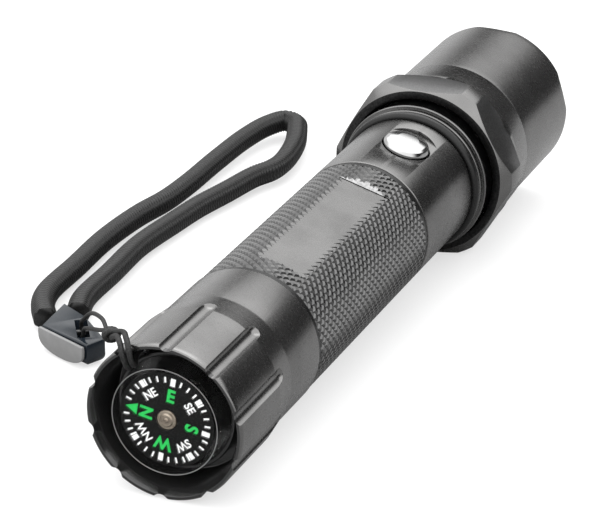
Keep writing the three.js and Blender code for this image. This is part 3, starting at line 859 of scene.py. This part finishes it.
def flat_cutter():
    """The milled flat: square at its near end, a sloping step at its far end."""
    bm = bmesh.new()
    tilt = math.radians(FEATURE_ANGLE)
    profile = [(42.3, FLAT_HEIGHT), (82.6, FLAT_HEIGHT), (82.6, FLAT_HEIGHT - 0.35),
               (83.0, FLAT_HEIGHT - 0.35), (83.0, FLAT_HEIGHT), (88.0, FLAT_HEIGHT + 6.5),
               (42.3, FLAT_HEIGHT + 6.5)]
    rings = []
    for side in (-15, 15):
        rings.append([bm.verts.new(at(side * math.cos(tilt) + h * math.sin(tilt), s,
                                      h * math.cos(tilt) - side * math.sin(tilt)))
                      for s, h in profile])
    bm.faces.new(rings[0])
    bm.faces.new(rings[1][::-1])
    for i in range(len(profile)):
        k = (i + 1) % len(profile)
        bm.faces.new((rings[0][i], rings[1][i], rings[1][k], rings[0][k]))
    bmesh.ops.recalc_face_normals(bm, faces=bm.faces)
    mesh = bpy.data.meshes.new("flat")
    bm.to_mesh(mesh)
    bm.free()
    return mesh


BORE_R = 12.6
TAIL_FACE_R = 13.0  # the grip's end face at the cap seam
TAIL_CHAMFER_SLOPE = 0.86  # mm of radius gained for each mm forward of the seam
FRONT_CHAMFER_R = 13.55  # radius at the grip's front edge


def close_barrel(bm, low, high):
    """Chamfers both ends and adds the end faces and the bore, so the grip is a closed solid."""
    for v in bm.verts:
        station = v.co.y / MM + HALF_LENGTH
        out = Vector((v.co.x, 0, v.co.z - AXIS_HEIGHT * MM))
        limit = MM * min(TAIL_FACE_R + TAIL_CHAMFER_SLOPE * (station - SEAM),
                         FRONT_CHAMFER_R + BARREL_END - station)
        if out.length > limit:
            v.co += out * (limit / out.length - 1)
    loops = []
    for y, rim_r in ((low, TAIL_FACE_R), (high, BODY_R - KNURL_DEPTH)):
        ends = [v for v in bm.verts if abs(v.co.y - y) < 1e-7]
        ends.sort(key=lambda v: math.atan2(v.co.x, v.co.z - AXIS_HEIGHT * MM))
        inner = []
        for v in ends:
            radial = Vector((v.co.x, 0, v.co.z - AXIS_HEIGHT * MM)).normalized()
            v.co = Vector((0, y, AXIS_HEIGHT * MM)) + radial * rim_r * MM
            inner.append(bm.verts.new(Vector((0, y, AXIS_HEIGHT * MM)) + radial * BORE_R * MM))
        for i, v in enumerate(ends):
            k = (i + 1) % len(ends)
            bm.faces.new((v, ends[k], inner[k], inner[i]))
        loops.append(inner)
    first, last = loops
    for i in range(len(first)):
        k = (i + 1) % len(first)
        bm.faces.new((first[i], first[k], last[k], last[i]))
    bmesh.ops.recalc_face_normals(bm, faces=bm.faces)


def thread(pitch, depth, start, end):
    def relief(angle, radius, station):
        phase = (station / pitch - angle / (2 * np.pi)) % 1.0
        tooth = 1 - np.abs(2 * phase - 1)
        threaded = (station > start) & (station < end) & (radius > 12.0)
        return angle, radius - depth * np.where(threaded, 1 - tooth, 0), station
    return relief


def tail_spigot():
    """The threaded end of the barrel, seen when the tail cap is unscrewed."""
    turns = [(12.35, s) for s in np.arange(26.2, 34.0, 0.13)]
    mesh = revolved("tail_spigot", [(11.65, 25.5), (12.0, 25.5)] + turns
                    + [(12.35, 35.0), (12.35, 36.3), (12.9, 36.3), (12.9, 40.0), (11.65, 40.0)],
                    columns=96, relief=thread(1.25, 0.3, 26.2, 34.0))
    belongs(show_mesh("tail_spigot", mesh, ["blasted"]), "barrel", "anodised")


# ---- switch section ----------------------------------------------------------------------
SWITCH_AT = 105.3


def switch_section():
    outline = [
        (11.65, 90.6), (13.5, 90.6, 0.05), (13.5, 91.2), (13.85, 91.25, 0.05), (13.95, 91.4, 0.08),
         (13.95, 115.75, 0.12),
        (13.55, 116.2, 0.1), (12.9, 116.2), (12.9, 118.4), (14.75, 118.4, 0.1), (14.9, 118.55, 0.1),
        (14.9, 118.95, 0.12), (14.25, 119.05), (14.25, 119.45), (15.45, 119.5, 0.08),
        (15.6, 119.65, 0.1), (15.6, 120.1, 0.12), (15.05, 120.2), (15.05, 134.7, 0.1),
        (14.2, 134.7), (14.2, 136.2), (15.05, 136.2, 0.08), (15.05, 136.5, 0.08), (14.2, 136.5),
        (14.2, 137.9), (15.05, 137.9, 0.08), (15.05, 138.6, 0.2), (13.2, 138.6), (13.2, 118.0),
        (11.65, 118.0),
    ]
    mesh = revolved("switch_body", outline, columns=180)
    obj = show_mesh("switch_body", mesh, ["blasted"])
    pocket = upright_mesh("pocket", 6.9, 13.05, 17, SWITCH_AT, FEATURE_ANGLE)
    hole = upright_mesh("hole", 5.0, 6, 17, SWITCH_AT, FEATURE_ANGLE)
    cut_by(obj, scratch("pocket", pocket))
    cut_by(obj, scratch("hole", hole))
    bevel(obj, 0.15, 2, 28)
    # The neck behind the ridges gets painted shade; only the ridges keep the blasted look.
    obj.data.materials.append(LOOKS["shaded"])
    for face in obj.data.polygons:
        x, y, z = face.center / MM
        ridge = math.hypot(x, z - AXIS_HEIGHT) > 14.7 and y + HALF_LENGTH < 120.18
        if y + HALF_LENGTH > 116.15 and not ridge:
            face.material_index = 1
    belongs(obj, "barrel", "anodised", "switch_housing")


def push_button():
    outline = filleted([
        (0, 8.6), (5.3, 8.6, 0.1), (5.3, 9.3, 0.1), (4.7, 9.3), (4.7, 13.55, 0.3), (4.35, 14.2, 0.6),
        (3.75, 14.65, 0.5), (2.2, 15.0, 1.5), (0, 15.1),
    ])
    count = 96
    turn = np.arange(count) * 2 * np.pi / count
    points = []
    tilt = math.radians(FEATURE_ANGLE)
    for r, height in outline:
        x, station = r * np.sin(turn), SWITCH_AT + r * np.cos(turn)
        points.append(np.stack([x * math.cos(tilt) + height * math.sin(tilt), station,
                                height * math.cos(tilt) - x * math.sin(tilt)], -1))
    faces = [(i * count + j, i * count + (j + 1) % count, (i + 1) * count + (j + 1) % count,
              (i + 1) * count + j) for i in range(len(outline) - 1) for j in range(count)]
    mesh = mesh_from("push_button", np.concatenate(points), faces)
    belongs(show_mesh("push_button", mesh, ["chrome"], 50), "button", "chrome", "switch_button")


# ---- head --------------------------------------------------------------------------------
HEX_APOTHEM = 17.65


def hex_collar():
    body = revolved("hex_collar", [
        (15.95, 123.0), (17.5, 123.0), (19.4, 124.9), (19.4, 130.3), (17.75, 132.0), (17.5, 134.0),
        (17.2, 140.8), (17.0, 141.0), (16.75, 141.0), (16.75, 135.5), (16.05, 135.5),
        (16.05, 126.5), (15.45, 126.5), (15.45, 123.6),
    ], columns=180)
    obj = show_mesh("hex_collar", body, ["blasted"])
    bm = bmesh.new()
    corner = HEX_APOTHEM / math.cos(math.pi / 6)
    for station in (122.0, 132.0):
        for k in range(6):
            bm.verts.new(round_at(30 + 60 * k, corner, station))
    bm.verts.ensure_lookup_table()
    bm.faces.new(bm.verts[:6])
    bm.faces.new(list(bm.verts[6:])[::-1])
    for k in range(6):
        n = (k + 1) % 6
        bm.faces.new((bm.verts[k], bm.verts[n], bm.verts[6 + n], bm.verts[6 + k]))
    bmesh.ops.recalc_face_normals(bm, faces=bm.faces)
    return obj, bm


def collar():
    obj, bm = hex_collar()
    prism = bpy.data.meshes.new("prism")
    bm.to_mesh(prism)
    bm.free()
    ring = revolved("ring", [(18.2, 132.0), (25, 132.0), (25, 145), (18.2, 145)], columns=48)
    cutter = scratch("prism", prism)
    cut_by(obj, scratch("ring", ring))
    blank = scratch("blank", revolved("blank", [(10, 121), (26, 121), (26, 132), (10, 132)],
                                      columns=48))
    cut_by(blank, cutter)
    cut_by(obj, blank)
    bevel(obj, 0.14, 2, 28)
    mark_flats(obj)
    belongs(obj, "head", "anodised", "head_collar")


def mark_flats(obj):
    """The milled flats have a coarser, darker finish than the turned faces; the rear face gets
    painted shade, a near-black colour for its dark reflection.
    """
    obj.data.materials.append(LOOKS["flats"])
    obj.data.materials.append(LOOKS["shaded"])
    for face in obj.data.polygons:
        x, y, z = face.center / MM
        angle, radius = math.degrees(math.atan2(x, z - AXIS_HEIGHT)), math.hypot(x, z - AXIS_HEIGHT)
        nearest = round(angle / 60) * 60
        normal = Vector((math.sin(math.radians(nearest)), 0, math.cos(math.radians(nearest))))
        station = y + HALF_LENGTH
        if station < 131.9 and face.normal.dot(normal) > 0.999 and radius > 17.5:
            face.material_index = 1
        # painted shade on the collar's rear face
        if face.normal.y < -0.99 and radius > 15.9:
            face.material_index = 2


def scalloped(angle, radius, station):
    """Five shallow scallops in the front rim."""
    cutter_r, centre, period = 9.3, 176.3, 72.0
    off = (np.degrees(angle) - 2.0 + period / 2) % period - period / 2
    side = np.clip(radius * np.sin(np.radians(off)), -cutter_r, cutter_r)
    rim = centre - np.sqrt(cutter_r ** 2 - side ** 2)
    dip = np.where(np.abs(off) < 30, np.maximum(168.0 - rim, 0.0), 0.0)
    weight = np.clip((station - 161.0) / 5.0, 0, 1)
    return angle, radius, station - dip * weight


def head():
    wall = [(16.95, s) for s in (143, 148, 153, 158, 161, 163, 165, 166)]
    round_piece("head_body", [
        (15.95, 135.9), (16.45, 135.9), (16.45, 141.15), (16.85, 141.2, 0.08), (16.95, 141.4, 0.1),
        *wall, (16.95, 167.6, 0.2), (16.55, 168.0, 0.15), (16.2, 168.0, 0.15), (15.8, 166.5),
        (15.8, 163), (15.8, 161), (15.8, 150.0), (14.6, 150.0), (14.6, 149.0), (15.95, 147.5),
    ], "blasted", "head", "anodised", "head_shell", columns=360, relief=scalloped)
    round_piece("focus_lens_dome", [
        (0, 150.3), (15.4, 150.3, 0.2), (15.4, 153.3, 0.2), (13.6, 153.35), (13.3, 154.5),
        (12.6, 157.0), (11.5, 159.3), (10.0, 161.0), (8.4, 162.6), (6.5, 163.8), (4.8, 164.6),
        (3.0, 165.05), (1.5, 165.25), (0, 165.3),
    ], "lens", "head", "clear_plastic", "focus_lens", sharp=40)
    round_piece("lens_seal", ring_outline(14.75, 0.55, 154.2), "rubber", "head", "rubber",
                "lens_seal_ring")
    round_piece("lens_clamp_ring", [
        (14.0, 155.1), (15.5, 155.1), (15.5, 158.0, 0.1), (14.0, 158.0, 0.3),
    ], "polished", "head", "anodised", "lens_retainer")


# ---- clip and knot -----------------------------------------------------------------------
CLIP_TOP, CLIP_BOTTOM = -10.8, -15.6
CLIP_OUTLINE = [(-48.4, 47.2), (-36.4, 42.4), (-34.5, 46.4), (-42.5, 54), (-49.1, 57.9)]
SLOT_AT = (-40.5, 48.7)


def slab(name, outline, bottom, top, bottom_edge, top_edge):
    """An upright block whose lower edges are rounded much more than its upper ones."""
    bm = bmesh.new()
    low = [bm.verts.new(at(x, s, bottom)) for x, s in outline]
    high = [bm.verts.new(at(x, s, top)) for x, s in outline]
    floor = bm.faces.new(low[::-1])
    bm.faces.new(high)
    for i in range(len(outline)):
        k = (i + 1) % len(outline)
        bm.faces.new((low[i], low[k], high[k], high[i]))
    bmesh.ops.bevel(bm, geom=list(floor.edges), offset=bottom_edge * MM, segments=6,
                    affect="EDGES", profile=0.5)
    top_height = at(0, 0, top).z
    rims = [e for e in bm.edges if all(abs(v.co.z - top_height) < 1e-8 for v in e.verts)]
    bmesh.ops.bevel(bm, geom=rims, offset=top_edge * MM, segments=3, affect="EDGES",
                    profile=0.5)
    bmesh.ops.recalc_face_normals(bm, faces=bm.faces)
    mesh = bpy.data.meshes.new(name)
    bm.to_mesh(mesh)
    bm.free()
    return mesh


def clip():
    mesh = slab("clip_block", CLIP_OUTLINE, CLIP_BOTTOM, CLIP_TOP, 1.6, 0.35)
    block = show_mesh("clip_block", mesh, ["clip"], 40)
    turn = math.atan2(4.9, -3.0)
    slot = turned_box("slot", (8, 2.4, 5), CLIP_TOP - 1.5, turn)
    cut_by(block, scratch("slot", slot))
    bevel(block, 0.12, 2, 50)
    belongs(block, "tail_cap", "clip_grey", "strap_clip")
    bar = show_mesh("clip_bar", turned_box("clip_bar", (0.8, 3.0, 1), CLIP_TOP - 0.8, turn),
                    ["plastic"])
    bevel(bar, 0.3, 3, 50)
    belongs(bar, "tail_cap", "black_plastic")
    return block, bar


def turned_box(name, size, height, turn):
    bm = bmesh.new()
    bmesh.ops.create_cube(bm, size=1.0)
    bmesh.ops.scale(bm, vec=Vector(size) * MM, verts=bm.verts)
    place = Matrix.Translation(at(*SLOT_AT, height)) @ Matrix.Rotation(turn, 4, "Z")
    bmesh.ops.transform(bm, matrix=place, verts=bm.verts)
    mesh = bpy.data.meshes.new(name)
    bm.to_mesh(mesh)
    bm.free()
    return mesh


def clip_end_plate():
    """A pale plate with a flat top and a round bottom on the clip's near end."""
    left, right = np.array((-48.8, 46.9)), np.array((-36.6, 41.6))
    along = (right - left) / np.linalg.norm(right - left)
    outward = np.array((along[1], -along[0]))
    if outward[1] > 0:
        outward = -outward
    width, drop = np.linalg.norm(right - left), CLIP_TOP - 0.2 - (CLIP_BOTTOM + 0.1)
    outline = [(0.15, 0.0), (width - 0.15, 0.0)]
    for k in range(25):
        a = math.pi * k / 24
        outline.append((width / 2 * (1 + math.cos(a)),
                        -0.9 - (drop - 0.9) * math.sin(a) ** 0.62))
    bm = bmesh.new()
    rings = []
    for depth in (-0.25, 0.45):
        rings.append([bm.verts.new(at(*(left + along * u + outward * depth), CLIP_TOP - 0.2 + v))
                      for u, v in outline])
    bm.faces.new(rings[0])
    bm.faces.new(rings[1][::-1])
    for i in range(len(outline)):
        k = (i + 1) % len(outline)
        bm.faces.new((rings[0][i], rings[0][k], rings[1][k], rings[1][i]))
    bmesh.ops.remove_doubles(bm, verts=bm.verts, dist=1e-7)
    bmesh.ops.recalc_face_normals(bm, faces=bm.faces)
    mesh = bpy.data.meshes.new("clip_end_plate")
    bm.to_mesh(mesh)
    bm.free()
    obj = show_mesh("clip_end_plate", mesh, ["pale"], 40)
    bevel(obj, 0.18, 3, 50)
    belongs(obj, "tail_cap", "clip_end", "strap_clip_end")
    return obj


def knot():
    """The lark's head: two wraps round both strands, and a bight across them."""
    middle = np.array((-13.6, 8.2, 10.7))
    along = np.array((-12.9, 7.5, 11.9)) - np.array((-9.5, 1.8, 13.4))
    along = along / np.linalg.norm(along)
    across = np.cross(along, (0, 0, 1.0))
    across /= np.linalg.norm(across)
    up = np.cross(across, along)
    route = []
    for k in range(41):
        a = 2 * math.pi * 2.4 * k / 40
        route.append(middle + along * (-1.2 + 2.4 * k / 40)
                     + across * 1.15 * math.cos(a) + up * 0.8 * math.sin(a))
    path, _ = smooth_path(route, 0.12)

    def surface(angle, distance):
        return 0.5 + 0.07 * np.abs(np.sin(1.5 * angle + np.pi * distance / 0.5))

    mesh = tube_mesh("lanyard_knot", path, 12, surface)
    return belongs(show_mesh("lanyard_knot", mesh, ["string"], 80), "tail_cap", "black_cord")


# ---- carried-over parts ------------------------------------------------------------------
def finish_cad_parts():
    """Gives every CAD part that stays its own procedural finish."""
    finishes = {
        "steel": ["lanyard_pin", "compass_pivot", "compass_magnet", "tail_spring",
                  "neck_stop_ring", "rear_contact_plate", "front_contact_plate", "driver_spring"],
        "brass": ["tail_contact_disc", "rear_terminal", "front_terminal", "lamp_heatsink"],
        "rubber": ["focus_seal_ring", "lamp_lead_1", "lamp_lead_2"],
        "plastic": ["battery_cassette", "switch_carrier", "microswitch"],
        "board": ["switch_board", "driver_board", "lamp_board"],
        "phosphor": ["lamp_emitter"],
        "sleeve": ["battery_cell_1", "battery_cell_2", "battery_cell_3"],
    }
    for look, names in finishes.items():
        for name in names:
            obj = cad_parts[name]
            for slot in obj.material_slots:
                slot.material = LOOKS[look]


tail_cap_body()
compass()
barrel()
tail_spigot()
round_piece("tail_seal", ring_outline(12.9, 0.42, 35.5), "rubber", "barrel", "rubber",
            "tail_seal_ring")
# Black rings fill the seams' V gaps as painted shade and draw the dark lines where the seams fall in
# shade.
for seam_name, start, end in (("cap_seam_shade_fill", 36.08, 37.25),
                              ("switch_seam_shade_fill", 90.02, 91.25)):
    round_piece(seam_name, [(12.45, start), (13.75, start), (13.75, end), (12.45, end)],
                "rubber", "barrel", "rubber")
switch_section()
round_piece("neck_seal", ring_outline(14.05, 1.0, 117.3, 20), "rubber", "barrel", "rubber",
            "neck_oring", columns=180)
push_button()
collar()
head()
clip_pieces = [*clip(), clip_end_plate()]
knot_piece = knot()
finish_cad_parts()


# ---- staging -----------------------------------------------------------------------------
def add_floor():
    """The torch rests on its tail and on the collar, so the surface slopes a little under it."""
    slope = 2.9 / 123.4
    contact = at(0, 123.4, -17.65)
    bpy.ops.mesh.primitive_plane_add(size=6.0, location=(0, 0, contact.z + contact.y * slope))
    floor = bpy.context.object
    floor.name = "surface"
    floor.rotation_euler = (-math.atan(slope), 0, 0)
    floor.data.materials.append(LOOKS["paper"])


def add_world():
    """Soft studio surround: bright overhead and to the left, dim low down at the far right."""
    world = bpy.data.worlds.new("studio")
    bpy.context.scene.world = world
    world.use_nodes = True
    nodes, links = world.node_tree.nodes, world.node_tree.links
    background = nodes["Background"]
    background.inputs["Color"].default_value = (1, 1, 1, 1)
    split = nodes.new("ShaderNodeSeparateXYZ")
    links.new(nodes.new("ShaderNodeTexCoord").outputs["Generated"], split.inputs[0])
    height = ranged(world.node_tree, split.outputs["Z"], 0.36, 0.54, 0.0, 1.0)
    left = ranged(world.node_tree, split.outputs["X"], -0.20, -0.55, 0.0, 0.48)
    front = ranged(world.node_tree, split.outputs["Y"], 0.0, -0.6, 0.0, 0.7)
    total = nodes.new("ShaderNodeMath")
    total.operation = "MAXIMUM"
    links.new(height, total.inputs[0])
    links.new(left, total.inputs[1])
    both = nodes.new("ShaderNodeMath")
    both.operation = "MAXIMUM"
    links.new(total.outputs[0], both.inputs[0])
    links.new(front, both.inputs[1])
    strength = ranged(world.node_tree, both.outputs[0], 0.0, 1.0, 0.02, 2.5)
    ray = nodes.new("ShaderNodeLightPath")
    pick = nodes.new("ShaderNodeMix")
    pick.inputs["B"].default_value = 1.0
    links.new(ray.outputs["Is Camera Ray"], pick.inputs["Factor"])
    links.new(strength, pick.inputs["A"])
    links.new(pick.outputs["Result"], background.inputs["Strength"])


def ranged(tree, source, from_low, from_high, to_low, to_high):
    node = tree.nodes.new("ShaderNodeMapRange")
    node.interpolation_type = "SMOOTHSTEP"
    for socket, value in (("From Min", from_low), ("From Max", from_high), ("To Min", to_low),
                          ("To Max", to_high)):
        node.inputs[socket].default_value = value
    tree.links.new(source, node.inputs["Value"])
    return node.outputs["Result"]


def add_softbox(name, place, target, size, power):
    data = bpy.data.lights.new(name, "AREA")
    data.shape = "RECTANGLE"
    data.size, data.size_y = size
    data.energy = power
    light = bpy.data.objects.new(name, data)
    light.location = place
    light.rotation_euler = (Vector(target) - Vector(place)).to_track_quat("-Z", "Y").to_euler()
    bpy.context.scene.collection.objects.link(light)


def add_flag(place, target, size):
    """A black card behind the torch to its right, which its dark axial band mirrors."""
    bpy.ops.mesh.primitive_plane_add(size=1.0, location=place)
    flag = bpy.context.object
    flag.name = "flag"
    flag.scale = (*size, 1.0)
    flag.rotation_euler = (Vector(target) - Vector(place)).to_track_quat("Z", "Y").to_euler()
    flag.data.materials.append(LOOKS["plastic"])
    flag.visible_camera = False


add_floor()
add_flag((0.30, 0.48, 0.10), (0, 0, 0.10), (0.60, 0.26))
add_world()
add_softbox("softbox_top", (-0.1, 0.25, 0.75), (0, 0, 0.02), (0.7, 0.5), 2.0)
bpy.context.scene.view_settings.view_transform = "Standard"
